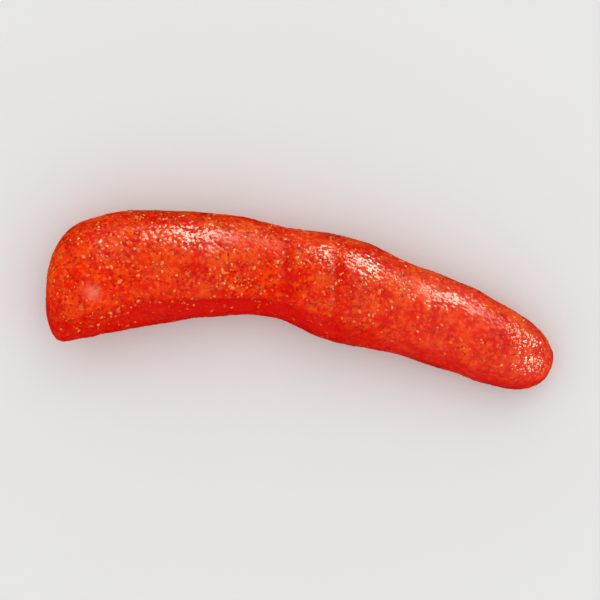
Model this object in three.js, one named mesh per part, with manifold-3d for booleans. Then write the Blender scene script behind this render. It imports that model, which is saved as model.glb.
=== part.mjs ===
// Spicy cod roe: one whole sac of salted pollock roe, cured in red chili, lying on a flat surface.
// It is a soft, plump tube of eggs in a thin skin. It bends along its length, is blunt and broad
// at the heel, draws in at a waist, swells again at the belly and tapers to a round tip.
// Its own weight flattens it underneath. Two shallow creases cross it at the waist, a fold runs
// along its hollow side, and the skin gathers into small pleats at both ends.
// Flakes of chili stick to it, most thickly at the heel.
//
// Millimetres, +Z up. The sac lies along X with its heel at -X and its rounded back towards +Y.
// The origin is the middle of its outline, on the surface that it rests on.
import * as THREE from "three";
import { mergeVertices } from "three/addons/utils/BufferGeometryUtils.js";
import Module from "manifold-3d";

// ---- The line through the middle of the sac, seen from above ----
const HEEL_END = [-62.2, 4.7];
const HEEL_PULL = [-42.5, 3.3]; // the way in which the line leaves the heel
const TIP_PULL = [-25.0, 23.6]; // and the way in which it arrives at the tip
const TIP_END = [62.5, -17.5];

// ---- Half-widths, across that line ----
const HEEL_HALF = 15.5;
const TIP_HALF = 9.4;
const WAIST = { at: 58.3, depth: 2.35, reach: 13.0 };
const BELLY = { at: 67.1, depth: 1.8, reach: 15.7 };

// ---- How far each end takes to round off: the heel is a blunt corner on the hollow side ----
const HEEL_ROUND_BACK = 20.0;
const HEEL_ROUND_HOLLOW = 3.8;
const HEEL_BLUNTNESS = 2.16; // exponent of the end's rounding, where 2 is a plain ellipse
const TIP_ROUND = 18.8;
const TIP_BLUNTNESS = 2.34;

// ---- The section: flattened underneath where the soft sac rests ----
const HEIGHT_SHARE = 0.8; // of the width
const CENTRE_SHARE = 0.68; // height of the widest line, as a share of the half-width
const SETTLE = 1.05; // how far the underside would reach below the surface if the sac were stiff
const SQUARENESS = 2.15; // exponent of the section, where 2 is a plain ellipse

// ---- Relief of the skin ----
// Soft lumps: height, radians for each mm along, waves in one turn around, and the angle each starts at.
const LUMPS = [
  { height: 0.26, along: 0.131, around: 1, start: 0.5 },
  { height: 0.16, along: 0.243, around: -2, start: 2.1 },
  { height: 0.07, along: 0.452, around: 3, start: 4.0 },
];
// Creases across the sac: place along it, lean, depth and reach, then the angle in degrees of
// their middle around it and how far they spread from there.
const CREASES = [
  { at: 59.9, lean: -2.6, depth: 0.85, reach: 1.6, middle: 78, spread: 50 },
  { at: 72.5, lean: -3.6, depth: 0.75, reach: 1.3, middle: 88, spread: 40 },
];
// The fold along the hollow side, below which the skin tucks in.
// It lies at an angle around the sac, and fades out again underneath, all in degrees.
const FOLD = { from: 18, to: 74, depth: 0.75, angle: 127, softness: 12, fadeFrom: 200, fadeTo: 250 };
// Pleats that gather the skin at the ends.
const PLEATS = { count: 9, depth: 0.28, heelReach: 5.5, tipReach: 4.0 };

// ---- Chili flakes: the largest ones, as thin chips pressed into the skin ----
const FLAKE_COUNT = 112;
const FLAKE_LENGTH = [1.1, 2.1]; // smallest and largest
const FLAKE_WIDTH_SHARE = 0.62;
const FLAKE_THICKNESS = 0.46;
const FLAKE_CLEAR_OF_FLOOR = 2.0;
const FLAKE_CLEAR_OF_ENDS = 2.0;
const HEEL_COVER = 1.0; // share of the places that hold a flake at the heel
const TIP_COVER = 0.45;
const THINS = { from: 0.45, to: 0.85 }; // shares of the length between which the cover thins
// Steps of even sequences, which spread flakes with no clumps and no rows.
const STEP_ALONG = 0.75488;
const STEP_AROUND = 0.56984;
const STEP_TURN = 0.61803;
const STEP_SIZE = 0.41421;
const STEP_COVER = 0.32471;

// ---- Facets ----
const RINGS = 104;
const SIDES = 32;
const TABLE_STEPS = 600;
const WELD = 1e-5; // points closer than this are one
const ROUND_OFF = 1e-9;
const TURN = 360; // degrees in a full turn

const SKIN = new THREE.MeshStandardMaterial({ color: 0xe03c1a, roughness: 0.34, metalness: 0 });

// ---- The middle line as a table of length, place and direction ----
const asVector = ([x, y]) => new THREE.Vector2(x, y);
const line = new THREE.CubicBezierCurve(...[HEEL_END, HEEL_PULL, TIP_PULL, TIP_END].map(asVector));
line.arcLengthDivisions = TABLE_STEPS;
const LENGTH = line.getLength();

const bump = (value, { at, reach }) => Math.exp(-(((value - at) / reach) ** 2));
const mix = (a, b, share) => a + (b - a) * share;
const smoothStep = (value) => THREE.MathUtils.smoothstep(value, 0, 1);

function halfWidth(along) {
  const taper = mix(HEEL_HALF, TIP_HALF, along / LENGTH);
  return taper - WAIST.depth * bump(along, WAIST) + BELLY.depth * bump(along, BELLY);
}

// 0 at the very end, 1 once the end has rounded off.
function rounding(distance, reach, bluntness) {
  const left = Math.max(0, 1 - distance / reach);
  return Math.max(0, 1 - left ** bluntness) ** (1 / bluntness);
}

// angle is 0 at the back, a quarter turn on top, a half turn at the hollow side.
function endShare(along, angle) {
  const back = (1 + Math.cos(angle)) / 2;
  const heelReach = mix(HEEL_ROUND_HOLLOW, HEEL_ROUND_BACK, back);
  const heel = rounding(along, heelReach, HEEL_BLUNTNESS);
  return heel * rounding(LENGTH - along, TIP_ROUND, TIP_BLUNTNESS);
}

function lumps(along, angle) {
  return LUMPS.reduce(
    (sum, l) => sum + l.height * Math.sin(l.along * along + l.around * angle + l.start),
    0,
  );
}

// Degrees from one angle to another by the shorter way round, across the back as well.
const degreesApart = (a, b) => TURN / 2 - Math.abs(TURN / 2 - (Math.abs(a - b) % TURN));

function creases(along, angle) {
  const degrees = THREE.MathUtils.radToDeg(angle);
  return CREASES.reduce((sum, c) => {
    const across = bump(degreesApart(degrees, c.middle), { at: 0, reach: c.spread });
    const lengthwise = bump(along, { at: c.at + c.lean * Math.cos(angle), reach: c.reach });
    return sum - c.depth * across * lengthwise;
  }, 0);
}

function fold(along, angle) {
  const degrees = THREE.MathUtils.radToDeg(angle);
  const middle = (FOLD.from + FOLD.to) / 2;
  const ends = bump(along, { at: middle, reach: (FOLD.to - FOLD.from) / 2 });
  const tucked = smoothStep((degrees - FOLD.angle) / FOLD.softness + 0.5);
  const underneath = smoothStep((FOLD.fadeTo - degrees) / (FOLD.fadeTo - FOLD.fadeFrom));
  return -FOLD.depth * ends * tucked * underneath;
}

function pleats(along, angle) {
  const heel = Math.exp(-along / PLEATS.heelReach);
  const tip = Math.exp(-(LENGTH - along) / PLEATS.tipReach);
  return PLEATS.depth * (heel + tip) * Math.cos(PLEATS.count * angle);
}

// A point of the skin. angle runs from 0 to a full turn.
function skinPoint(along, angle) {
  const share = along / LENGTH;
  const place = line.getPointAt(share);
  const ahead = line.getTangentAt(share);
  const half = halfWidth(along);
  const relief = lumps(along, angle) + creases(along, angle) + fold(along, angle) + pleats(along, angle);
  const ends = endShare(along, angle);
  const centre = CENTRE_SHARE * half;
  const rise = Math.sin(angle) > 0 ? 2 * HEIGHT_SHARE * half - centre : centre + SETTLE;
  const squared = (value) => Math.sign(value) * Math.abs(value) ** (2 / SQUARENESS);
  const out = (half + relief) * ends * squared(Math.cos(angle));
  const up = (rise + relief) * ends * squared(Math.sin(angle));
  return new THREE.Vector3(place.x - ahead.y * out, place.y + ahead.x * out, centre + up);
}

// Lengths along the sac that divide the line over its top from heel to tip into equal steps.
function evenRings(count) {
  const top = Math.PI / 2;
  const table = [{ along: 0, run: 0 }];
  let last = skinPoint(0, top);
  for (let i = 1; i <= TABLE_STEPS; i++) {
    const along = (LENGTH * (1 - Math.cos((Math.PI * i) / TABLE_STEPS))) / 2;
    const point = skinPoint(along, top);
    table.push({ along, run: table[i - 1].run + point.distanceTo(last) });
    last = point;
  }
  const whole = table[TABLE_STEPS].run;
  return Array.from({ length: count + 1 }, (_, ring) => {
    const wanted = (whole * ring) / count;
    const next = Math.max(1, table.findIndex((entry) => entry.run >= wanted - ROUND_OFF));
    const [a, b] = [table[next - 1], table[next]];
    return mix(a.along, b.along, (wanted - a.run) / (b.run - a.run));
  });
}

// ---- Solids ----
const manifold = await Module();
manifold.setup();

function solidFrom(geometry) {
  const bare = geometry.clone();
  bare.deleteAttribute("normal");
  bare.deleteAttribute("uv");
  const welded = mergeVertices(bare, WELD);
  const vertProperties = new Float32Array(welded.attributes.position.array);
  const triVerts = new Uint32Array(welded.index.array);
  return new manifold.Manifold(new manifold.Mesh({ numProp: 3, vertProperties, triVerts }));
}

function geometryFrom(solid) {
  const { vertProperties, triVerts } = solid.getMesh();
  const geometry = new THREE.BufferGeometry();
  geometry.setAttribute("position", new THREE.BufferAttribute(vertProperties, 3));
  geometry.setIndex(new THREE.BufferAttribute(triVerts, 1));
  geometry.computeVertexNormals();
  return geometry;
}

// A ball whose poles become the heel and the tip, and whose rings become the sections of the sac.
function sacSolid() {
  const ball = new THREE.SphereGeometry(1, SIDES, RINGS);
  const rings = evenRings(RINGS);
  const position = ball.attributes.position;
  const point = new THREE.Vector3();
  for (let i = 0; i < position.count; i++) {
    point.fromBufferAttribute(position, i);
    const polar = Math.acos(THREE.MathUtils.clamp(point.y, -1, 1));
    const ring = Math.round((polar / Math.PI) * RINGS);
    const angle = (Math.atan2(point.z, point.x) + 2 * Math.PI) % (2 * Math.PI);
    position.setXYZ(i, ...skinPoint(rings[ring], angle));
  }
  return solidFrom(ball);
}

// The place, outward direction and lengthwise direction of a spot on the skin.
function spotOnSkin(along, angle) {
  const step = 0.4;
  const place = skinPoint(along, angle);
  const lengthwise = skinPoint(along + step, angle).sub(skinPoint(along - step, angle)).normalize();
  const turn = step / halfWidth(along);
  const around = skinPoint(along, angle + turn).sub(skinPoint(along, angle - turn)).normalize();
  const outward = new THREE.Vector3().crossVectors(lengthwise, around).normalize();
  return { place, outward, lengthwise };
}

function flakeSolid({ place, outward, lengthwise }, length, turn) {
  const chip = new THREE.IcosahedronGeometry(1, 0);
  chip.scale(length / 2, (length * FLAKE_WIDTH_SHARE) / 2, FLAKE_THICKNESS / 2);
  chip.rotateZ(turn);
  const sideways = new THREE.Vector3().crossVectors(outward, lengthwise).normalize();
  const ahead = new THREE.Vector3().crossVectors(sideways, outward);
  chip.applyMatrix4(new THREE.Matrix4().makeBasis(ahead, sideways, outward));
  chip.translate(place.x, place.y, place.z);
  return solidFrom(chip);
}

function flakeSolids() {
  const nth = (index, step) => (0.5 + index * step) % 1;
  const solids = [];
  for (let index = 1; solids.length < FLAKE_COUNT; index++) {
    const share = nth(index, STEP_ALONG);
    const thinned = smoothStep((share - THINS.from) / (THINS.to - THINS.from));
    const cover = mix(HEEL_COVER, TIP_COVER, thinned);
    if (nth(index, STEP_COVER) > cover) continue;
    const along = mix(FLAKE_CLEAR_OF_ENDS, LENGTH - FLAKE_CLEAR_OF_ENDS, share);
    const spot = spotOnSkin(along, 2 * Math.PI * nth(index, STEP_AROUND));
    if (spot.place.z < FLAKE_CLEAR_OF_FLOOR) continue;
    const length = mix(...FLAKE_LENGTH, nth(index, STEP_SIZE) ** 2);
    solids.push(flakeSolid(spot, length, 2 * Math.PI * nth(index, STEP_TURN)));
  }
  return solids;
}

function belowTheSurface() {
  const depth = 40;
  const slab = new THREE.BoxGeometry(3 * LENGTH, 2 * LENGTH, depth);
  slab.translate(0, 0, -depth / 2);
  return solidFrom(slab);
}

function roeSac() {
  const sac = flakeSolids().reduce((whole, flake) => whole.add(flake), sacSolid());
  const rested = sac.subtract(belowTheSurface());
  const whole = rested.decompose().reduce((most, body) => (body.volume() > most.volume() ? body : most));
  const geometry = geometryFrom(whole);
  geometry.computeBoundingBox();
  const middle = geometry.boundingBox.getCenter(new THREE.Vector3());
  geometry.translate(-middle.x, -middle.y, 0);
  const mesh = new THREE.Mesh(geometry, SKIN);
  mesh.name = "roe_sac";
  return mesh;
}

const spicyCodRoe = new THREE.Group();
spicyCodRoe.name = "spicy_cod_roe";
spicyCodRoe.add(roeSac());

export default spicyCodRoe;
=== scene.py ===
"""Spicy cod roe: one whole cured sac, with its chili, on a pale studio floor.

Metres, +Z up. The sac lies along X, with its blunt heel at -X and its rounded back towards +Y.
"""

import math
import random
from functools import lru_cache

import bmesh
import bpy
from bpy.props import FloatProperty, FloatVectorProperty, IntProperty, PointerProperty
from mathutils import Matrix, Vector, noise
from mathutils.bvhtree import BVHTree


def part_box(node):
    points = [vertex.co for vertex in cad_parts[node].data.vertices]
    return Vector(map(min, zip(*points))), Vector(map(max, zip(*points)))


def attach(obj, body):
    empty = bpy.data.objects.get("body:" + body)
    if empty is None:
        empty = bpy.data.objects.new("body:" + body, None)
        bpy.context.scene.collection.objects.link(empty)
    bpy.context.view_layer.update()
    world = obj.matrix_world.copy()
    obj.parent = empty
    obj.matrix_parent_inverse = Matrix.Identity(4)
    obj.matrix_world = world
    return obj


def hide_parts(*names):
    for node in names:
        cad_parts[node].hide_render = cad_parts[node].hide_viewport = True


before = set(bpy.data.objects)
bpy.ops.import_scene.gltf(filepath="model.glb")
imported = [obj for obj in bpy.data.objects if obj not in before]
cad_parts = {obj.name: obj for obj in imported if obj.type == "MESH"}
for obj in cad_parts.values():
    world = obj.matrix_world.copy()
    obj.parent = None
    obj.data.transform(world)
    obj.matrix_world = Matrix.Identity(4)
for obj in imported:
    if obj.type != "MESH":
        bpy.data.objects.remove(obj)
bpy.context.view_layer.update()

bl_info = {
    "name": "Spicy Cod Roe",
    "version": (1, 0, 0),
    "blender": (4, 5, 0),
    "location": "View3D > Sidebar > Cod Roe",
    "description": "Builds a whole sac of chili-cured cod roe and the studio around it",
    "category": "Add Mesh",
}

MM = 0.001
CAD_NODE = "roe_sac"

SKIN_NAME = "sac_skin"
TOP = math.pi / 2
FULL_TURN = 2 * math.pi
DEGREES = 360  # in a full turn
WELD = 1e-7
BATCH = 20  # small things are made a few at a time, since operators slow down on a large mesh

# The line through the middle of the sac, seen from above: heel, pull, pull and tip.
MIDDLE_LINE = [
    Vector((-62.2, 4.7)) * MM,
    Vector((-42.5, 3.3)) * MM,
    Vector((-25.0, 23.6)) * MM,
    Vector((62.5, -17.5)) * MM,
]
LINE_STEPS = 600

# Soft lumps: height, radians for each metre along, waves in one turn around, and where each starts.
LUMPS = [
    (0.26 * MM, 0.131 / MM, 1, 0.5),
    (0.16 * MM, 0.243 / MM, -2, 2.1),
    (0.07 * MM, 0.452 / MM, 3, 4.0),
]

# Steps of even sequences, which spread the large flakes with no clumps and no rows.
STEP_ALONG = 0.75488
STEP_AROUND = 0.56984
STEP_TURN = 0.61803
STEP_SIZE = 0.41421
STEP_COVER = 0.32471
THINS = (0.45, 0.85)  # shares of the length between which the chili thins out
SEASONED = (55, 42, 54)  # degrees: the middle of the seasoned side, how far it holds, then fades
GATHERED = (7 * MM, 5 * MM, 134, 20)  # chili gathers here: place and reach, then angle and spread
FLOOR_GAP = 0.9 * MM  # small chili keeps this far above the floor
END_GAP = 1.2 * MM  # and this far from both ends
BARE_SIDE = 0.14  # small chili at the hollow side, as a share of the seasoned side's
CLUMPS_ALONG = 9  # how finely small chili clumps along the sac
CLUMPS_AROUND = 2.2  # and around it
CLUMP_EDGE = 1.5  # how sharply a clump ends
NEARBY = 0.4 * MM  # a short way along the sac, to find which way it runs
WRINKLES_APART = Vector((7, 3, 5))  # shifts the wrinkles' pattern away from the dents'


def from_srgb(red, green, blue):
    """A colour as seen on a screen, from 0 to 255, as the linear values that a shader takes."""

    def linear(value):
        share = value / 255
        return share / 12.92 if share <= 0.04045 else ((share + 0.055) / 1.055) ** 2.4

    return linear(red), linear(green), linear(blue)


def length(name, description, millimetres):
    return FloatProperty(
        name=name,
        description=description,
        default=millimetres * MM,
        min=0.0,
        precision=5,
        unit="LENGTH",
    )


def share_of(name, description, default):
    return FloatProperty(
        name=name, description=description, default=default, min=0.0, max=4.0, subtype="FACTOR"
    )


def count(name, description, default, least=0):
    return IntProperty(name=name, description=description, default=default, min=least)


def angle(name, description, degrees):
    return FloatProperty(
        name=name, description=description, default=math.radians(degrees), subtype="ANGLE"
    )


def watts(name, description, default):
    return FloatProperty(
        name=name, description=description, default=default, min=0.0, unit="POWER"
    )


def colour(name, description, *srgb):
    return FloatVectorProperty(
        name=name,
        description=description,
        default=from_srgb(*srgb),
        size=3,
        min=0.0,
        max=1.0,
        subtype="COLOR",
    )


# ---------------------------------------------------------------- what a user may change


class RoeSacShape(bpy.types.PropertyGroup):
    """The sac's widths, its rounded ends and its section."""

    heel_half: length("Heel half-width", "Half the width behind the blunt heel", 15.5)
    tip_half: length("Tip half-width", "Half the width before the tip rounds off", 9.4)
    waist_at: length("Waist place", "Distance of the waist from the heel", 58.3)
    waist_depth: length("Waist depth", "How far each side draws in at the waist", 2.35)
    waist_reach: length("Waist reach", "How far along the sac the waist spreads", 13.0)
    belly_at: length("Belly place", "Distance of the belly from the heel", 67.1)
    belly_depth: length("Belly swell", "How far each side swells at the belly", 1.8)
    belly_reach: length("Belly reach", "How far along the sac the belly spreads", 15.7)
    heel_round_back: length("Heel rounding, back", "Length of its rounding at the back", 20.0)
    heel_round_hollow: length("Heel rounding, hollow", "Its length at the hollow side", 3.8)
    heel_bluntness: share_of("Heel bluntness", "Exponent of the heel's rounding", 2.16)
    tip_round: length("Tip rounding", "Length over which the tip rounds off", 18.8)
    tip_bluntness: share_of("Tip bluntness", "Exponent of the tip's rounding", 2.34)
    height_share: share_of("Height", "Height as a share of the width", 0.8)
    centre_share: share_of("Widest line", "Its height as a share of the half-width", 0.68)
    settle: length("Settling", "How far a stiff underside would reach below the floor", 1.05)
    settle_softness: length("Settled edge", "Softness of the edge just above the floor", 0.7)
    squareness: share_of("Squareness", "Exponent of the section, 2 for an ellipse", 2.15)
    rings: count("Rings", "Sections along the sac", 400, least=40)
    sides: count("Sides", "Points around each section", 236, least=24)


class RoeSkinRelief(bpy.types.PropertyGroup):
    """Folds, creases and grain of the skin."""

    fold_from: length("Fold start", "Where the fold along the hollow side begins", 18.0)
    fold_to: length("Fold end", "Where that fold ends", 74.0)
    fold_depth: length("Fold depth", "How far the skin tucks in below the fold", 0.75)
    pleat_depth: length("Pleat depth", "Depth of the pleats that gather both ends", 0.28)
    dent_depth: length("Dents", "Depth of the soft dents a few millimetres wide", 0.16)
    dent_size: length("Dent size", "Width of those dents", 5.2)
    wrinkle_depth: length("Wrinkles", "Depth of the small wrinkles", 0.075)
    wrinkle_size: length("Wrinkle size", "Width of those wrinkles", 2.1)
    egg_size: length("Egg size", "Width of one egg under the skin", 1.1)
    egg_height: length("Egg height", "How far an egg raises the skin", 0.085)


class RoeChili(bpy.types.PropertyGroup):
    """How much chili sticks to the sac, and how large it is."""

    flake_count: count("Large flakes", "Large chili flakes", 112)
    flake_smallest: length("Smallest large flake", "Length of the smallest of them", 1.1)
    flake_largest: length("Largest flake", "Length of the largest of them", 2.1)
    crumb_count: count("Small flakes", "Small chili flakes", 1250)
    seed_count: count("Seeds", "Golden seed fragments", 350)
    powder_count: count("Powder", "Grains of chili powder", 2400)
    tip_share: share_of("Cover at the tip", "Chili at the tip, as a share of the heel's", 0.45)


class RoeColours(bpy.types.PropertyGroup):
    """Colours of the sac and its chili."""

    # The orange-red of the top and back is partly painted light. The deep red low on the flanks, in
    # the creases and along and below the fold is painted shade. Between the eggs the deep red is
    # the skin's own grain.
    body: colour("Skin", "Orange-red of the lit skin", 234, 33, 2)
    deep: colour("Deep skin", "Deep red between the eggs and low on the flanks", 212, 4, 1)
    warm: colour("Marinade", "Orange where the marinade lies thick", 250, 94, 9)
    speck: colour("Speck", "Dark red specks in the skin", 168, 6, 1)
    pale: colour("Pale skin", "Pink where the skin is thick and milky", 240, 146, 130)
    flake_dark: colour("Dark flake", "Darkest chili flakes", 150, 22, 3)
    flake_bright: colour("Bright flake", "Brightest chili flakes", 255, 116, 44)
    seed: colour("Seed", "Golden seed fragments", 255, 140, 66)
    shine: colour("Shine", "Warm white of the lights seen in the moist skin", 255, 243, 217)
    floor: colour("Floor", "Pale studio floor", 223, 223, 222)


class RoeStudio(bpy.types.PropertyGroup):
    """Floor, light and camera."""

    view_width: length("Width in view", "Width of the floor that the picture takes in", 150.0)
    camera_height: length("Camera height", "Height of the camera above the floor", 900.0)
    floor_size: length("Floor size", "Width of the floor", 30000.0)
    key_distance: length("Key light distance", "From the sac to the light that shapes it", 2600.0)
    key_size: length("Key light size", "Width of that square light", 1200.0)
    key_power: watts("Key light power", "Power of that light in watts", 4.4)
    key_elevation: angle("Key light elevation", "Its height above the horizon", 50)
    key_turn: angle("Key light turn", "How far it is turned from the back towards the tip", 20)
    shine_distance: length("Shine distance", "From the sac to the lights seen in its skin", 1700.0)
    shine_width: length("Shine width", "Width of that long light", 1900.0)
    shine_depth: length("Shine depth", "Its depth, from edge to edge", 600.0)
    shine_power: watts("Shine power", "Power of that light in watts", 82.0)
    shine_elevation: angle("Shine elevation", "Its height above the horizon", 27)
    shine_turn: angle("Shine turn", "How far it is turned from the back towards the tip", 30)
    side_width: length("Side shine width", "Width of a like light beyond the tip", 450.0)
    side_depth: length("Side shine depth", "Depth of that light, from edge to edge", 700.0)
    side_power: watts("Side shine power", "Power of that light in watts", 28.0)
    side_turn: angle("Side shine turn", "How far it is turned from the back towards the tip", 110)
    fill: share_of("Fill", "Strength of the even light from all around", 1.04)


GROUPS = {
    "roe_shape": RoeSacShape,
    "roe_relief": RoeSkinRelief,
    "roe_chili": RoeChili,
    "roe_colours": RoeColours,
    "roe_studio": RoeStudio,
}


# ---------------------------------------------------------------- the form of the sac


def mix(a, b, share):
    return a + (b - a) * share


def smooth_step(value):
    held = min(1.0, max(0.0, value))
    return held * held * (3 - 2 * held)


def bump(value, at, reach):
    return math.exp(-(((value - at) / reach) ** 2))


def degrees_apart(a, b):
    """Degrees from one angle to another by the shorter way round, across the back as well."""
    half = DEGREES / 2
    return half - abs(half - abs(a - b) % DEGREES)


def on_line(t):
    """The place at parameter t of the middle line, and the direction it runs in."""
    a, b, c, d = MIDDLE_LINE
    s = 1 - t
    place = a * s**3 + b * 3 * s * s * t + c * 3 * s * t * t + d * t**3
    ahead = (b - a) * 3 * s * s + (c - b) * 6 * s * t + (d - c) * 3 * t * t
    return place, ahead.normalized()


def run_of_line():
    """Length of the middle line up to each of its even steps in t."""
    runs = [0.0]
    last = on_line(0)[0]
    for step in range(1, LINE_STEPS + 1):
        place = on_line(step / LINE_STEPS)[0]
        runs.append(runs[-1] + (place - last).length)
        last = place
    return runs


LINE_RUNS = run_of_line()
SAC_LENGTH = LINE_RUNS[-1]


def between(table, wanted):
    """Where wanted lies in a rising table, in steps and parts of a step."""
    low, high = 0, len(table) - 1
    while high - low > 1:
        middle = (low + high) // 2
        if table[middle] < wanted:
            low = middle
        else:
            high = middle
    return low + (wanted - table[low]) / (table[high] - table[low])


@lru_cache(maxsize=4096)
def line_at(along):
    return on_line(between(LINE_RUNS, along) / LINE_STEPS)


def rounding(distance, reach, bluntness):
    """0 at the very end, and 1 once the end has rounded off."""
    left = max(0.0, 1 - distance / reach)
    return max(0.0, 1 - left**bluntness) ** (1 / bluntness)


class SacForm:
    """The skin as a formula of the distance along the sac and the angle around it.

    The angle is 0 at the back, a quarter turn on top and a half turn at the hollow side.
    """

    # Creases: place, lean, depth and reach, then the middle angle and its spread, in degrees.
    CREASES = [
        (59.9 * MM, -2.6 * MM, 0.85 * MM, 1.6 * MM, 78, 50),
        (72.5 * MM, -3.6 * MM, 0.75 * MM, 1.3 * MM, 88, 40),
    ]
    FOLD_ANGLE = 127  # degrees
    FOLD_SOFTNESS = 12  # degrees over which the skin tucks in
    FOLD_FADES = (200, 250)  # degrees between which it comes out again, low on the flank
    PLEATS = 9
    HEEL_PLEATS = 5.5 * MM  # how far the pleats reach from the heel
    TIP_PLEATS = 4.0 * MM  # and from the tip

    def __init__(self, shape, relief):
        self.shape = shape
        self.relief = relief

    def half_width(self, along):
        s = self.shape
        taper = mix(s.heel_half, s.tip_half, along / SAC_LENGTH)
        waist = s.waist_depth * bump(along, s.waist_at, s.waist_reach)
        return taper - waist + s.belly_depth * bump(along, s.belly_at, s.belly_reach)

    def end_share(self, along, angle):
        s = self.shape
        back = (1 + math.cos(angle)) / 2
        heel_reach = mix(s.heel_round_hollow, s.heel_round_back, back)
        heel = rounding(along, heel_reach, s.heel_bluntness)
        return heel * rounding(SAC_LENGTH - along, s.tip_round, s.tip_bluntness)

    def lumps(self, along, angle):
        return sum(h * math.sin(a * along + n * angle + start) for h, a, n, start in LUMPS)

    def crease(self, along, angle):
        degrees = math.degrees(angle)
        depth = 0.0
        for at, lean, deep, reach, middle, spread in self.CREASES:
            here = bump(along, at + lean * math.cos(angle), reach)
            depth += deep * here * bump(degrees_apart(degrees, middle), 0, spread)
        return depth

    def fold_reach(self, along):
        """1 halfway along the fold, fading towards both its ends."""
        r = self.relief
        return bump(along, (r.fold_from + r.fold_to) / 2, (r.fold_to - r.fold_from) / 2)

    def fold(self, along, angle):
        """How far the skin is tucked in below the fold, from 0 to 1."""
        degrees = math.degrees(angle)
        tucked = smooth_step((degrees - self.FOLD_ANGLE) / self.FOLD_SOFTNESS + 0.5)
        fades, gone = self.FOLD_FADES
        return self.fold_reach(along) * tucked * smooth_step((gone - degrees) / (gone - fades))

    def fold_line(self, along, angle):
        """How near a point is to the fold's own line, from 0 to 1."""
        near = bump(math.degrees(angle), self.FOLD_ANGLE, self.FOLD_SOFTNESS / 2)
        return self.fold_reach(along) * near

    def pleats(self, along, angle):
        heel = math.exp(-along / self.HEEL_PLEATS)
        tip = math.exp(-(SAC_LENGTH - along) / self.TIP_PLEATS)
        return self.relief.pleat_depth * (heel + tip) * math.cos(self.PLEATS * angle)

    def point(self, along, angle):
        """The skin with its large relief, before it settles on the floor."""
        s = self.shape
        place, ahead = line_at(along)
        half = self.half_width(along)
        raised = self.lumps(along, angle) - self.crease(along, angle) + self.pleats(along, angle)
        raised -= self.relief.fold_depth * self.fold(along, angle)
        ends = self.end_share(along, angle)
        centre = s.centre_share * half
        rise = 2 * s.height_share * half - centre if math.sin(angle) > 0 else centre + s.settle
        out = (half + raised) * ends * squared(math.cos(angle), s.squareness)
        up = (rise + raised) * ends * squared(math.sin(angle), s.squareness)
        return Vector((place.x - ahead.y * out, place.y + ahead.x * out, centre + up))

    def even_rings(self, count):
        """Distances along the sac that divide the line over its top into equal steps."""
        alongs = [
            SAC_LENGTH * (1 - math.cos(math.pi * step / LINE_STEPS)) / 2
            for step in range(LINE_STEPS + 1)
        ]
        runs = [0.0]
        last = self.point(0, TOP)
        for along in alongs[1:]:
            here = self.point(along, TOP)
            runs.append(runs[-1] + (here - last).length)
            last = here
        rings = []
        for ring in range(count + 1):
            step = between(runs, runs[-1] * ring / count)
            low = min(int(step), LINE_STEPS - 1)
            rings.append(mix(alongs[low], alongs[low + 1], step - low))
        return rings


def squared(value, exponent):
    """A sine or cosine for a section that is a little squarer than an ellipse."""
    return math.copysign(abs(value) ** (2 / exponent), value)


def settled(height, softness):
    """Height above the floor of soft skin that a stiff sac would hold at height."""
    return (height + math.hypot(height, softness)) / 2


def fine_relief(point, relief):
    """Dents, wrinkles and eggs, as a height along the skin's outward direction."""
    dents = noise.noise(point / relief.dent_size) * relief.dent_depth
    wrinkles = noise.noise(point / relief.wrinkle_size + WRINKLES_APART) * relief.wrinkle_depth
    nearest = noise.voronoi(point / relief.egg_size)[0][0]
    return dents + wrinkles + relief.egg_height * (1 - 2 * min(1.0, nearest))


# ---------------------------------------------------------------- making meshes


def set_attribute(mesh, name, values):
    attribute = mesh.attributes.new(name, "FLOAT", "POINT")
    attribute.data.foreach_set("value", values)


def finished(bm, name, material, smooth=True):
    """A bmesh as a piece of the sac, with its material, riding on the one body."""
    mesh = bpy.data.meshes.new(name)
    bm.to_mesh(mesh)
    mesh.polygons.foreach_set("use_smooth", [smooth] * len(mesh.polygons))
    piece = bpy.data.objects.new(name, mesh)
    bpy.context.scene.collection.objects.link(piece)
    mesh.materials.append(material)
    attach(piece, "root")
    return piece


def skin_surface():
    """The finished skin as a tree to lay chili on."""
    skin = bpy.data.objects.get(SKIN_NAME)
    if skin is None:
        raise RuntimeError("build the sac before its chili")
    bm = bmesh.new()
    bm.from_mesh(skin.data)
    tree = BVHTree.FromBMesh(bm)
    bm.free()
    return tree


# ---------------------------------------------------------------- materials


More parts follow.
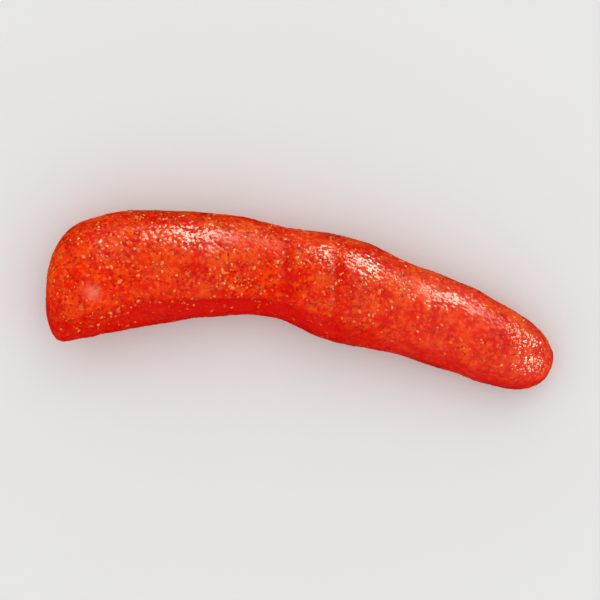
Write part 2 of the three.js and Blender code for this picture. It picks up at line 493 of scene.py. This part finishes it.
class Nodes:
    """A new material's nodes, with short ways to add and join them."""

    # Places of the Mix node's colour sockets, which share their names with its other ones.
    MIX_SHARE, MIX_UNDER, MIX_OVER, MIX_RESULT = 0, 6, 7, 2

    def __init__(self, name):
        self.material = bpy.data.materials.new(name)
        self.material.use_nodes = True
        self.tree = self.material.node_tree
        self.shader = self.tree.nodes["Principled BSDF"]
        self.place = self.tree.nodes.new("ShaderNodeTexCoord").outputs["Object"]

    def add(self, kind, **inputs):
        node = self.tree.nodes.new(kind)
        for name, value in inputs.items():
            self.feed(node.inputs[name.replace("_", " ")], value)
        return node

    def feed(self, socket, value):
        if isinstance(value, bpy.types.NodeSocket):
            self.tree.links.new(value, socket)
        else:
            socket.default_value = value

    def noise(self, size, detail=3.0, roughness=0.5):
        """Soft noise with features about size wide."""
        given = {"Vector": self.place, "Scale": 1 / size, "Detail": detail, "Roughness": roughness}
        return self.add("ShaderNodeTexNoise", **given).outputs["Fac"]

    def cells(self, size):
        """Distance from the middle of packed cells about size wide."""
        node = self.add("ShaderNodeTexVoronoi", Vector=self.place, Scale=1 / size)
        return node.outputs["Distance"]

    def attribute(self, name):
        node = self.add("ShaderNodeAttribute")
        node.attribute_name = name
        return node.outputs["Fac"]

    def spread(self, value, low, high, to_low=0.0, to_high=1.0):
        """value from low to high, made to run smoothly from to_low to to_high."""
        given = {"From Min": low, "From Max": high, "To Min": to_low, "To Max": to_high}
        node = self.add("ShaderNodeMapRange", Value=value, **given)
        node.interpolation_type = "SMOOTHSTEP"
        return node.outputs["Result"]

    def math(self, operation, *values):
        node = self.tree.nodes.new("ShaderNodeMath")
        node.operation = operation
        for socket, value in zip(node.inputs, values):
            self.feed(socket, value)
        return node.outputs[0]

    def times(self, a, b):
        return self.math("MULTIPLY", a, b)

    def rest_of(self, value):
        return self.math("SUBTRACT", 1.0, value)

    def blend(self, share, under, over):
        """One colour over another, by a share from 0 to 1."""
        node = self.tree.nodes.new("ShaderNodeMix")
        node.data_type = "RGBA"
        self.feed(node.inputs[self.MIX_SHARE], share)
        for place, value in ((self.MIX_UNDER, under), (self.MIX_OVER, over)):
            linked = isinstance(value, bpy.types.NodeSocket)
            self.feed(node.inputs[place], value if linked else (*value, 1.0))
        return node.outputs[self.MIX_RESULT]

    def relief(self, height, distance, strength=1.0, onto=None):
        node = self.add("ShaderNodeBump", Height=height, Distance=distance, Strength=strength)
        if onto is not None:
            self.feed(node.inputs["Normal"], onto)
        return node.outputs["Normal"]

    def set(self, **inputs):
        for name, value in inputs.items():
            self.feed(self.shader.inputs[name.replace("_", " ")], value)


# Patterns of the skin: where each starts to count, where it counts in full and, unless those
# give 0 and 1, what they give.
EGG_DOMES = (0.15, 0.75, 1.0, 0.0)
EGGS_CAUGHT = (0.42, 0.62)
# The side painted as lit follows the marinade's spread, falling to 0.3 on the hollow flank, which
# is painted as shaded.
PAINTED_LIT_SIDE = (0.0, 0.7, 0.3, 1.0)
MOTTLE = (0.38, 0.6, 0.15, 1.0)
SMEARS = (0.45, 0.68)
FLECKS = (0.5, 0.68, 0.0, 0.45)
SPECKS = (0.56, 0.68, 0.0, 0.75)
MILKY_PATCHES = (0.52, 0.72)
MILKY_FLECKS = (0.42, 0.62)
PALE_FLECKS = (0.3, 0.6, 0.4, 1.0)
FILM_WET = (0.0, 1.0, 0.07, 1.0)
FILM_TUCKED = (0.0, 0.7, 1.0, 0.15)
FILM_PATCHY = (0.34, 0.6, 0.55, 1.0)
SKIN_ROUGH = (0.38, 0.6, 0.19, 0.46)

# How strongly a layer of colour covers what lies below it, from 0 to 1.
BETWEEN_EGGS = 0.38
OVER_EGGS = 0.6
SMEARED = 0.7
MILKY = 0.04
UNDUSTED = 0.09


def skin_colour(n, colours, egg):
    """Orange-red over deep red, with marinade, specks and pale skin over both.

    The deep red also shows between the eggs, and as painted shade wherever the skin is tucked in.
    The top and back are painted lighter orange-red as if lit, and the hollow flank deep red as
    painted shade.
    """
    marinade, dusted = n.attribute("marinade"), n.attribute("dusted")
    # This mask paints light and shade. It is 1 on the top and back, which are painted as lit
    # orange-red, and falls to 0.3 on the hollow flank, which is painted as shaded deep red.
    painted_lit = n.spread(marinade, *PAINTED_LIT_SIDE)
    mottle = n.spread(n.noise(9 * MM, detail=4, roughness=0.55), *MOTTLE)
    flecks = n.noise(1.9 * MM, detail=3, roughness=0.6)
    smears = n.spread(n.noise(6.5 * MM, detail=5, roughness=0.68), *SMEARS)
    specks = n.spread(n.noise(1.05 * MM, detail=2, roughness=0.6), *SPECKS)
    caught = n.times(egg, n.spread(n.noise(1.5 * MM, detail=2), *EGGS_CAUGHT))
    patches = n.spread(n.noise(26 * MM, detail=2), *MILKY_PATCHES)
    milky = n.times(patches, n.spread(flecks, *MILKY_FLECKS))
    layers = (
        (n.times(n.rest_of(egg), BETWEEN_EGGS), colours.deep),
        # Warm egg tops, warm flecks and pale undusted skin show only on the painted lit side, so
        # they are partly painted light.
        (n.times(caught, n.times(painted_lit, OVER_EGGS)), colours.warm),
        (n.times(n.times(marinade, smears), SMEARED), colours.warm),
        (n.times(painted_lit, n.spread(flecks, *FLECKS)), colours.warm),
        (n.times(dusted, specks), colours.speck),
        (n.times(milky, MILKY), colours.pale),
        (n.times(n.times(n.rest_of(dusted), painted_lit), UNDUSTED), colours.pale),
        (n.times(n.attribute("pale_spot"), n.spread(flecks, *PALE_FLECKS)), colours.pale),
        # Painted shade: deep red in the creases, on the fold's line and below the fold.
        (n.attribute("tucked"), colours.deep),
    )
    # Painted light and shade: orange-red where the side is painted lit, and deep red low on the
    # shaded hollow flank.
    base = n.blend(n.times(painted_lit, mottle), colours.deep, colours.body)
    for share, over in layers:
        base = n.blend(share, base, over)
    return base


def wet_film(n):
    """How much wet film lies on the skin: in patches, and little where it is tucked in."""
    film = n.spread(n.attribute("wet"), *FILM_WET)
    film = n.times(film, n.spread(n.attribute("tucked"), *FILM_TUCKED))
    return n.times(film, n.spread(n.noise(5 * MM, detail=3), *FILM_PATCHY))


def skin_grain(n, egg):
    """The finest relief: the dome of each egg, a tooth on it and soft waves across many."""
    normal = n.relief(egg, distance=0.1 * MM)
    normal = n.relief(n.noise(0.55 * MM, detail=2), distance=0.03 * MM, strength=0.6, onto=normal)
    return n.relief(n.noise(3.2 * MM, detail=4), distance=0.2 * MM, strength=0.36, onto=normal)


def roe_skin(colours, relief):
    """Moist, slightly milky skin, with packed eggs that show through it."""
    n = Nodes("roe_skin")
    egg = n.spread(n.cells(relief.egg_size), *EGG_DOMES)
    normal = skin_grain(n, egg)
    n.set(
        Base_Color=skin_colour(n, colours, egg),
        Roughness=n.spread(n.noise(7 * MM, detail=5, roughness=0.6), *SKIN_ROUGH),
        Normal=normal,
        Subsurface_Weight=0.5,
        Subsurface_Radius=(1.0, 0.15, 0.05),
        Subsurface_Scale=2.6 * MM,
        Specular_IOR_Level=0.05,
        Coat_Weight=wet_film(n),
        Coat_Roughness=0.16,
        Coat_Normal=normal,
    )
    return n.material


# Patterns of the chili and the floor, given as the skin's are.
FLAKE_TONE = (0.3, 0.7, -0.15, 0.15)
FLAKE_ROUGH = (0.3, 0.7, 0.26, 0.5)
SEED_STREAKS = (0.35, 0.7)
SEED_ROUGH = (0.0, 1.0, 0.22, 0.4)
FLOOR_SHADES = (0.3, 0.7, 0.0, 0.02)
FLOOR_GREY = (0.6, 0.6, 0.6)

STREAKED = 0.3  # how strongly the streaks warm a seed
SEED_WARMTH = 0.5  # and how strongly the warmest tone does


def chili_skin(name, colours):
    """Wet, crushed chili, from dark red to orange-red, each piece in a tone of its own."""
    n = Nodes(name)
    tone = n.math("ADD", n.attribute("tone"), n.spread(n.noise(0.5 * MM), *FLAKE_TONE))
    n.set(
        Base_Color=n.blend(tone, colours.flake_dark, colours.flake_bright),
        Roughness=n.spread(n.noise(0.35 * MM), *FLAKE_ROUGH),
        Normal=n.relief(n.noise(0.25 * MM, detail=2), distance=0.03 * MM, strength=0.8),
        Specular_IOR_Level=0.12,
        Subsurface_Weight=0.15,
        Subsurface_Radius=(1.0, 0.2, 0.1),
        Subsurface_Scale=0.6 * MM,
        Coat_Weight=0.6,
        Coat_Roughness=0.16,
    )
    return n.material


def chili_seed(colours):
    """Golden seed fragments, moist and faintly streaked."""
    n = Nodes("chili_seed")
    streaks = n.spread(n.noise(0.4 * MM, detail=3), *SEED_STREAKS)
    streaked = n.blend(n.times(streaks, STREAKED), colours.seed, colours.warm)
    n.set(
        Base_Color=n.blend(n.times(n.attribute("tone"), SEED_WARMTH), streaked, colours.warm),
        Roughness=n.spread(streaks, *SEED_ROUGH),
        Normal=n.relief(streaks, distance=0.02 * MM, strength=0.6),
        Specular_IOR_Level=0.12,
        Subsurface_Weight=0.25,
        Subsurface_Radius=(1.0, 0.5, 0.2),
        Subsurface_Scale=0.6 * MM,
        Coat_Weight=0.8,
        Coat_Roughness=0.12,
    )
    return n.material


def studio_floor(colours):
    """A smooth, pale board with a faint tooth."""
    n = Nodes("studio_floor")
    shade = n.spread(n.noise(40 * MM, detail=3), *FLOOR_SHADES)
    n.set(
        Base_Color=n.blend(shade, colours.floor, FLOOR_GREY),
        Roughness=0.85,
        Normal=n.relief(n.noise(0.8 * MM), distance=0.02 * MM, strength=0.2),
        Specular_IOR_Level=0.0,
    )
    return n.material


# ---------------------------------------------------------------- chili


def nth(index, step):
    """One term, from 0 to 1, of an even sequence that goes on by step."""
    return (0.5 + index * step) % 1


def cover(share, tip_share):
    """How thickly chili lies at a share of the length, from all of it at the heel to the tip's."""
    start, end = THINS
    return mix(1.0, tip_share, smooth_step((share - start) / (end - start)))


def seasoned_side(angle):
    """1 where the seasoning was spread, on top and at the back, fading to 0 at the hollow side."""
    middle, holds, fades = SEASONED
    return 1 - smooth_step((degrees_apart(math.degrees(angle), middle) - holds) / fades)


def gathered(along, angle):
    """1 in the middle of the small heap of chili at the heel, fading to 0 around it."""
    place, reach, middle, spread = GATHERED
    return bump(along, place, reach) * bump(degrees_apart(math.degrees(angle), middle), 0, spread)


def lie_on(tree, form, along, angle, sink):
    """A matrix that lays a flat thing on the skin, facing outwards, a little pressed in."""
    guess = form.point(along, angle)
    spot, normal, _, _ = tree.find_nearest(guess)
    ahead = form.point(along + NEARBY, angle) - form.point(along - NEARBY, angle)
    side = normal.cross(ahead).normalized()
    basis = Matrix((side.cross(normal), side, normal)).transposed().to_4x4()
    return Matrix.Translation(spot - normal * sink) @ basis


# Small things are made 1 across and then scaled to size. Pairs are the least and the most.
UNIT_RADIUS = 0.5
FLAKE_SIDES = (6, 8)
FLAKE_CURL = (0.1, 0.34)
FLAKE_WIDTH = (0.45, 0.78)
FLAKE_THICKNESS = (0.1, 0.18)
FLAKE_STRETCH = (0.74, 1.12)  # of each corner, outwards
FLAKE_TOP = 0.86  # size of its upper face, as a share of the lower one's
SEED_POINT = 0.35  # how far a seed draws in at its pointed end
SEED_WIDTH = 0.72
SEED_THICKNESS = 0.42
GRAIN_STRETCH = (0.7, 1.2)  # of each corner, outwards
GRAIN_THICKNESS = 0.6


def add_flake(bm, matrix, size, draw):
    """One crushed piece of chili skin: an uneven chip that curls up at its ends."""
    sides = draw.randint(*FLAKE_SIDES)
    made = bmesh.ops.create_circle(bm, cap_ends=True, radius=UNIT_RADIUS, segments=sides)
    bottom = made["verts"]
    face = bottom[0].link_faces[0]
    raised = bmesh.ops.extrude_face_region(bm, geom=[face])["geom"]
    top = [part for part in raised if isinstance(part, bmesh.types.BMVert)]
    curl = draw.uniform(*FLAKE_CURL)
    width = draw.uniform(*FLAKE_WIDTH)
    thickness = draw.uniform(*FLAKE_THICKNESS)
    for lower, upper in pair_up(bottom, top):
        stretch = draw.uniform(*FLAKE_STRETCH)
        x, y = lower.co.x * stretch, lower.co.y * stretch * width
        lift = curl * x * x
        lower.co = Vector((x, y, lift))
        upper.co = Vector((x * FLAKE_TOP, y * FLAKE_TOP, lift + thickness))
    bmesh.ops.transform(bm, matrix=matrix @ Matrix.Scale(size, 4), verts=bottom + top)
    return bottom + top


def pair_up(bottom, top):
    """Each lower vertex with the upper one that stands on it."""
    return [(low, min(top, key=lambda v: (v.co - low.co).length_squared)) for low in bottom]


def add_seed(bm, matrix, size, _draw):
    """One flat seed fragment, pointed at one end. All seeds have one shape, so nothing is drawn."""
    made = bmesh.ops.create_uvsphere(bm, u_segments=8, v_segments=5, radius=UNIT_RADIUS)["verts"]
    for v in made:
        point = 1 - SEED_POINT * max(0.0, v.co.x * 2)
        v.co = Vector((v.co.x, v.co.y * SEED_WIDTH * point, v.co.z * SEED_THICKNESS * point))
    bmesh.ops.transform(bm, matrix=matrix @ Matrix.Scale(size, 4), verts=made)
    return made


def add_grain(bm, matrix, size, draw):
    """One uneven grain of chili powder."""
    made = bmesh.ops.create_icosphere(bm, subdivisions=1, radius=UNIT_RADIUS)["verts"]
    for v in made:
        v.co *= draw.uniform(*GRAIN_STRETCH)
        v.co.z *= GRAIN_THICKNESS
    bmesh.ops.transform(bm, matrix=matrix @ Matrix.Scale(size, 4), verts=made)
    return made


def scattered(draw, count, tip_share, clumping):
    """Places for small chili, thick at the heel and on top, and gathered in loose clumps."""
    places = []
    while len(places) < count:
        share = draw.random()
        angle = draw.uniform(0, FULL_TURN)
        chance = cover(share, tip_share) * mix(BARE_SIDE, 1.0, seasoned_side(angle))
        around = (math.cos(angle) * CLUMPS_AROUND, math.sin(angle) * CLUMPS_AROUND)
        spot = Vector((share * CLUMPS_ALONG, *around))
        chance *= mix(1.0, smooth_step(0.5 + CLUMP_EDGE * noise.noise(spot)), clumping)
        chance = mix(chance, 1.0, gathered(share * SAC_LENGTH, angle))
        if draw.random() < chance:
            places.append((mix(END_GAP, SAC_LENGTH - END_GAP, share), angle))
    return places


def clear_places(places, form, clear):
    """The places whose skin is at least clear above the floor."""
    return [place for place in places if form.point(*place).z >= clear]


def lay(add, things, sink, draw, tree, form):
    """Makes one thing for each (place, size, turn, tone), pressed in by sink of its size.

    Returns the bmesh that holds them all, and a tone for each of its vertices. Those of a flake
    or a grain stay together, so each has one tone. Those of the seeds in a batch end up mixed, so
    a seed has the tones of several.
    """
    whole, batch = bmesh.new(), bmesh.new()
    carrier = bpy.data.meshes.new("carrier")
    shades = []
    for index, ((along, angle), size, turn, tone) in enumerate(things):
        turned = Matrix.Rotation(turn, 4, "Z")
        matrix = lie_on(tree, form, along, angle, sink * size) @ turned
        shades.extend([tone] * len(add(batch, matrix, size, draw)))
        if (index + 1) % BATCH == 0 or index + 1 == len(things):
            batch.to_mesh(carrier)
            whole.from_mesh(carrier)
            batch.clear()
    batch.free()
    bpy.data.meshes.remove(carrier)
    bmesh.ops.recalc_face_normals(whole, faces=whole.faces)
    return whole, shades


def drawn(draw, places, smallest, largest):
    """A size, mostly a small one, a turn and a tone for each place."""
    things = []
    for place in places:
        size = mix(smallest, largest, draw.random() ** 2)
        things.append((place, size, draw.uniform(0, FULL_TURN), draw.random()))
    return things


# ---------------------------------------------------------------- operators


def settings(context):
    scene = context.scene
    return scene.roe_shape, scene.roe_relief, scene.roe_chili, scene.roe_colours


class ROE_OT_build_sac(bpy.types.Operator):
    """Builds the sac's skin, with its creases, its fold and the eggs that show through it"""

    bl_idname = "roe.build_sac"
    bl_label = "Build Sac"
    bl_options = {"REGISTER", "UNDO"}

    PALE_SPOT = Vector((-50.6, 2.0)) * MM
    PALE_SPOT_REACH = 1.6 * MM
    PALE_SPOT_STRENGTH = 0.7
    PALE_SPOT_ABOVE = 5 * MM  # it shows on the upper skin only
    # Where the skin is wettest: distance from the heel, reach along the sac, and how wet.
    WET_PATCHES = [
        (34.0 * MM, 9.5 * MM, 1.0),
        (68.5 * MM, 3.5 * MM, 0.85),
        (78.0 * MM, 5.0 * MM, 0.85),
        (99.5 * MM, 7.2 * MM, 0.75),
        (121.5 * MM, 5.5 * MM, 1.0),
    ]
    DUSTED_TIP = 0.45  # dark specks at the tip, as a share of the heel's
    CREASE_FULL = 0.8 * MM  # a crease this deep gets the full strength of its painted shade, in deep red
    CREASE_DRY = 0.25 * MM  # a crease this deep holds no wet film
    CREASE_RED, FOLD_RED, FOLD_LINE_RED = 0.85, 0.8, 0.5  # how deep the painted shade, in deep red, is in each
    HEEL_MARINADE = 0.85  # marinade at the heel, as a share of the tip's

    def execute(self, context):
        shape, relief, _, colours = settings(context)
        form = SacForm(shape, relief)
        rings = form.even_rings(shape.rings)
        bm = bmesh.new()
        along_layer = bm.verts.layers.float.new("along")
        angle_layer = bm.verts.layers.float.new("angle")
        bmesh.ops.create_grid(bm, x_segments=shape.sides, y_segments=shape.rings, size=1.0)
        for v in bm.verts:
            along = rings[round((v.co.y + 1) / 2 * shape.rings)]
            angle = round((v.co.x + 1) / 2 * shape.sides) / shape.sides * FULL_TURN
            v[along_layer], v[angle_layer] = along, angle
            v.co = form.point(along, angle)
        bmesh.ops.remove_doubles(bm, verts=bm.verts, dist=WELD)
        bmesh.ops.recalc_face_normals(bm, faces=bm.faces)
        where = [(v[along_layer], v[angle_layer]) for v in bm.verts]
        bm.normal_update()
        heights = [fine_relief(v.co, relief) for v in bm.verts]
        for v, height in zip(bm.verts, heights):
            v.co += v.normal * height
            v.co.z = settled(v.co.z, shape.settle_softness)
        self.line_up(bm)
        looks = {
            # marinade also sets which side is painted as lit and which as shaded.
            "marinade": [self.marinade(along, angle) for along, angle in where],
            "dusted": [cover(along / SAC_LENGTH, self.DUSTED_TIP) for along, _ in where],
            # tucked holds painted shade: deep red in the creases, on the fold's line and below the
            # fold. It also thins the wet film there.
            "tucked": [self.painted_fold_shade(form, along, angle) for along, angle in where],
            "wet": [self.wetness(form, along, angle) for along, angle in where],
            "pale_spot": [self.pale(v.co) for v in bm.verts],
        }
        skin = finished(bm, SKIN_NAME, roe_skin(colours, relief))
        bm.free()
        for name, values in looks.items():
            set_attribute(skin.data, name, values)
        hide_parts(CAD_NODE)
        return {"FINISHED"}

    def line_up(self, bm):
        """Moves the skin onto the middle of the CAD sac's box, resting on the floor."""
        low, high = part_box(CAD_NODE)
        points = [v.co for v in bm.verts]
        least = [min(p[axis] for p in points) for axis in range(3)]
        most = [max(p[axis] for p in points) for axis in range(3)]
        shift = Vector(
            (
                (low[0] + high[0] - least[0] - most[0]) / 2,
                (low[1] + high[1] - least[1] - most[1]) / 2,
                low[2] - least[2],
            )
        )
        bmesh.ops.translate(bm, vec=shift, verts=bm.verts)

    def painted_fold_shade(self, form, along, angle):
        """How deep the painted shade is, in deep red from 0 to 1: in the creases, on the fold's
        line and below it.
        """
        creased = self.CREASE_RED * form.crease(along, angle) / self.CREASE_FULL
        below = self.FOLD_RED * form.fold(along, angle)
        return min(1.0, creased + below + self.FOLD_LINE_RED * form.fold_line(along, angle))

    def wetness(self, form, along, angle):
        """How wet the skin is, from 0 to 1: in patches along the sac, but not in its creases."""
        patches = sum(wet * bump(along, at, reach) for at, reach, wet in self.WET_PATCHES)
        return min(1.0, patches) * (1 - min(1.0, form.crease(along, angle) / self.CREASE_DRY))

    def marinade(self, along, angle):
        """How thick the orange marinade lies, on top and at the back, from 0 to 1. The skin's
        painted light on top and at the back, and its painted shade on the hollow flank, follow it
        too.
        """
        return seasoned_side(angle) * mix(self.HEEL_MARINADE, 1.0, along / SAC_LENGTH)

    def pale(self, point):
        """How pale the skin is in the small pale spot at the heel."""
        if point.z <= self.PALE_SPOT_ABOVE:
            return 0.0
        away = (Vector((point.x, point.y)) - self.PALE_SPOT).length
        return self.PALE_SPOT_STRENGTH * bump(away, 0, self.PALE_SPOT_REACH)


def make_chili(name, add, things, sink, draw, form, material, slot, smooth=False):
    """One piece that holds every thing of one kind."""
    bm, shades = lay(add, things, sink, draw, skin_surface(), form)
    piece = finished(bm, name, material, smooth)
    bm.free()
    set_attribute(piece.data, "tone", shades)


class ROE_OT_scatter_flakes(bpy.types.Operator):
    """Presses large and small chili flakes into the skin"""

    bl_idname = "roe.scatter_flakes"
    bl_label = "Scatter Chili Flakes"
    bl_options = {"REGISTER", "UNDO"}

    LARGE_DRAW, SMALL_DRAW = 7, 41  # seeds of the random draws
    CLEAR = 2.0 * MM  # large flakes keep this far from both ends and above the floor
    TONES = (0.05, 0.95)  # darkest and brightest large flake
    SMALL_SIZES = (0.45 * MM, 1.25 * MM)  # smallest and largest
    CLUMPING = 0.8
    SINK = 0.1  # how far a flake is pressed in, as a share of its size

    def execute(self, context):
        shape, relief, chili, colours = settings(context)
        form = SacForm(shape, relief)
        draw = random.Random(self.LARGE_DRAW)
        large = self.large_flakes(draw, form, chili)
        skin = chili_skin("large_chili", colours)
        make_chili("chili_flakes", add_flake, large, self.SINK, draw, form, skin, "chili_flake")

        draw = random.Random(self.SMALL_DRAW)
        places = scattered(draw, chili.crumb_count, chili.tip_share, self.CLUMPING)
        small = drawn(draw, clear_places(places, form, FLOOR_GAP), *self.SMALL_SIZES)
        skin = chili_skin("small_chili", colours)
        pressed = (small, self.SINK, draw, form, skin)
        make_chili("small_chili_flakes", add_flake, *pressed, "chili_flake")
        return {"FINISHED"}

    def large_flakes(self, draw, form, chili):
        """The same large flakes, in the same places, as on the CAD sac."""
        flakes = []
        index = 0
        while len(flakes) < chili.flake_count:
            index += 1
            share = nth(index, STEP_ALONG)
            if nth(index, STEP_COVER) > cover(share, chili.tip_share):
                continue
            along = mix(self.CLEAR, SAC_LENGTH - self.CLEAR, share)
            angle = FULL_TURN * nth(index, STEP_AROUND)
            if form.point(along, angle).z < self.CLEAR:
                continue
            size = mix(chili.flake_smallest, chili.flake_largest, nth(index, STEP_SIZE) ** 2)
            turn = FULL_TURN * nth(index, STEP_TURN)
            flakes.append(((along, angle), size, turn, draw.uniform(*self.TONES)))
        return flakes


class ROE_OT_scatter_seeds(bpy.types.Operator):
    """Lays golden seed fragments on the skin"""

    bl_idname = "roe.scatter_seeds"
    bl_label = "Scatter Chili Seeds"
    bl_options = {"REGISTER", "UNDO"}

    DRAW = 12  # seed of the random draws
    SIZES = (0.55 * MM, 1.35 * MM)  # smallest and largest
    CLUMPING = 0.5
    SINK = 0.08
    TIP = 0.4  # seeds at the tip, as a share of the cover that other chili has there

    def execute(self, context):
        shape, relief, chili, colours = settings(context)
        form = SacForm(shape, relief)
        draw = random.Random(self.DRAW)
        places = scattered(draw, chili.seed_count, chili.tip_share * self.TIP, self.CLUMPING)
        seeds = drawn(draw, clear_places(places, form, FLOOR_GAP), *self.SIZES)
        pressed = (seeds, self.SINK, draw, form, chili_seed(colours))
        make_chili("chili_seeds", add_seed, *pressed, "chili_seed", smooth=True)
        return {"FINISHED"}


class ROE_OT_dust_powder(bpy.types.Operator):
    """Dusts the skin with fine chili powder"""

    bl_idname = "roe.dust_powder"
    bl_label = "Dust Chili Powder"
    bl_options = {"REGISTER", "UNDO"}

    DRAW = 88  # seed of the random draws
    SIZES = (0.16 * MM, 0.4 * MM)  # smallest and largest
    CLUMPING = 0.9
    SINK = 0.15

    def execute(self, context):
        shape, relief, chili, colours = settings(context)
        form = SacForm(shape, relief)
        draw = random.Random(self.DRAW)
        places = scattered(draw, chili.powder_count, chili.tip_share, self.CLUMPING)
        grains = drawn(draw, clear_places(places, form, FLOOR_GAP), *self.SIZES)
        pressed = (grains, self.SINK, draw, form, chili_skin("chili_powder", colours))
        make_chili("chili_powder", add_grain, *pressed, "chili_flake")
        return {"FINISHED"}


class ROE_OT_set_stage(bpy.types.Operator):
    """Sets the pale floor, the soft light and the camera that looks straight down"""

    bl_idname = "roe.set_stage"
    bl_label = "Set Stage"
    bl_options = {"REGISTER", "UNDO"}

    FLOOR_CELLS = 4
    SEEN_TO = 40.0  # metres: how far the camera sees
    WHITE = (1.0, 1.0, 1.0, 1.0)

    def execute(self, context):
        studio = context.scene.roe_studio
        self.floor(studio, context.scene.roe_colours)
        self.key_light(studio)
        self.shine(studio, context.scene.roe_colours)
        self.fill_light(context.scene, studio)
        self.camera(context.scene, studio)
        context.scene.view_settings.view_transform = "Standard"
        return {"FINISHED"}

    def floor(self, studio, colours):
        bm = bmesh.new()
        cells = {"x_segments": self.FLOOR_CELLS, "y_segments": self.FLOOR_CELLS}
        bmesh.ops.create_grid(bm, size=studio.floor_size / 2, **cells)
        mesh = bpy.data.meshes.new("floor")
        bm.to_mesh(mesh)
        bm.free()
        mesh.materials.append(studio_floor(colours))
        floor = bpy.data.objects.new("floor", mesh)
        bpy.context.scene.collection.objects.link(floor)
        floor.visible_glossy = False

    def key_light(self, studio):
        """A large soft light over the sac's back, which shapes it but isn't seen in its skin."""
        at = (studio.key_distance, studio.key_elevation, studio.key_turn)
        key = self.soft_light("key", studio.key_power, studio.key_size, studio.key_size, *at)
        key.visible_glossy = False

    def shine(self, studio, colours):
        """Two low lights, one long and one beyond the tip, seen only mirrored in the skin."""
        s = studio
        for name, *given, turn in (
            ("shine", s.shine_power, s.shine_width, s.shine_depth, s.shine_turn),
            ("side_shine", s.side_power, s.side_width, s.side_depth, s.side_turn),
        ):
            lamp = self.soft_light(name, *given, s.shine_distance, s.shine_elevation, turn)
            lamp.data.color = colours.shine
            lamp.visible_diffuse = False

    def soft_light(self, name, power, width, depth, distance, elevation, turn):
        """A rectangle of light aimed at the sac, turned from its back towards its tip."""
        light = bpy.data.lights.new(name, "AREA")
        light.shape = "RECTANGLE"
        light.size = width
        light.size_y = depth
        light.energy = power
        away, up = math.cos(elevation) * distance, math.sin(elevation) * distance
        lamp = bpy.data.objects.new(name, light)
        lamp.location = (math.sin(turn) * away, math.cos(turn) * away, up)
        lamp.rotation_euler = (-lamp.location).to_track_quat("-Z", "Y").to_euler()
        lamp.visible_camera = False
        bpy.context.scene.collection.objects.link(lamp)
        return lamp

    def fill_light(self, scene, studio):
        """Even light from all around, left out of reflections to keep the red deep."""
        world = bpy.data.worlds.new("studio")
        world.use_nodes = True
        background = world.node_tree.nodes["Background"]
        background.inputs["Color"].default_value = self.WHITE
        background.inputs["Strength"].default_value = studio.fill
        scene.world = world
        world.cycles_visibility.glossy = False

    def camera(self, scene, studio):
        lens = bpy.data.cameras.new("camera")
        lens.lens = lens.sensor_width * studio.camera_height / studio.view_width
        lens.clip_end = self.SEEN_TO
        camera = bpy.data.objects.new("camera", lens)
        camera.location = (0.0, 0.0, studio.camera_height)
        scene.collection.objects.link(camera)
        scene.camera = camera


class ROE_PT_panel(bpy.types.Panel):
    """Lists the sac's sizes and colours, and the steps that build it"""

    bl_idname = "ROE_PT_panel"
    bl_label = "Spicy Cod Roe"
    bl_space_type = "VIEW_3D"
    bl_region_type = "UI"
    bl_category = "Cod Roe"

    def draw(self, context):
        for group in GROUPS:
            box = self.layout.box()
            values = getattr(context.scene, group)
            for name in GROUPS[group].__annotations__:
                box.prop(values, name)
        for operator in OPERATORS:
            self.layout.operator(operator.bl_idname)


OPERATORS = (
    ROE_OT_build_sac,
    ROE_OT_scatter_flakes,
    ROE_OT_scatter_seeds,
    ROE_OT_dust_powder,
    ROE_OT_set_stage,
)


def register():
    for group in GROUPS.values():
        bpy.utils.register_class(group)
    for operator in OPERATORS:
        bpy.utils.register_class(operator)
    bpy.utils.register_class(ROE_PT_panel)
    for name, group in GROUPS.items():
        setattr(bpy.types.Scene, name, PointerProperty(type=group))


def unregister():
    for name in GROUPS:
        delattr(bpy.types.Scene, name)
    bpy.utils.unregister_class(ROE_PT_panel)
    for operator in reversed(OPERATORS):
        bpy.utils.unregister_class(operator)
    for group in reversed(GROUPS.values()):
        bpy.utils.unregister_class(group)


def main():
    register()
    bpy.ops.roe.build_sac()
    bpy.ops.roe.scatter_flakes()
    bpy.ops.roe.scatter_seeds()
    bpy.ops.roe.dust_powder()
    bpy.ops.roe.set_stage()


if __name__ == "__main__":
    main()
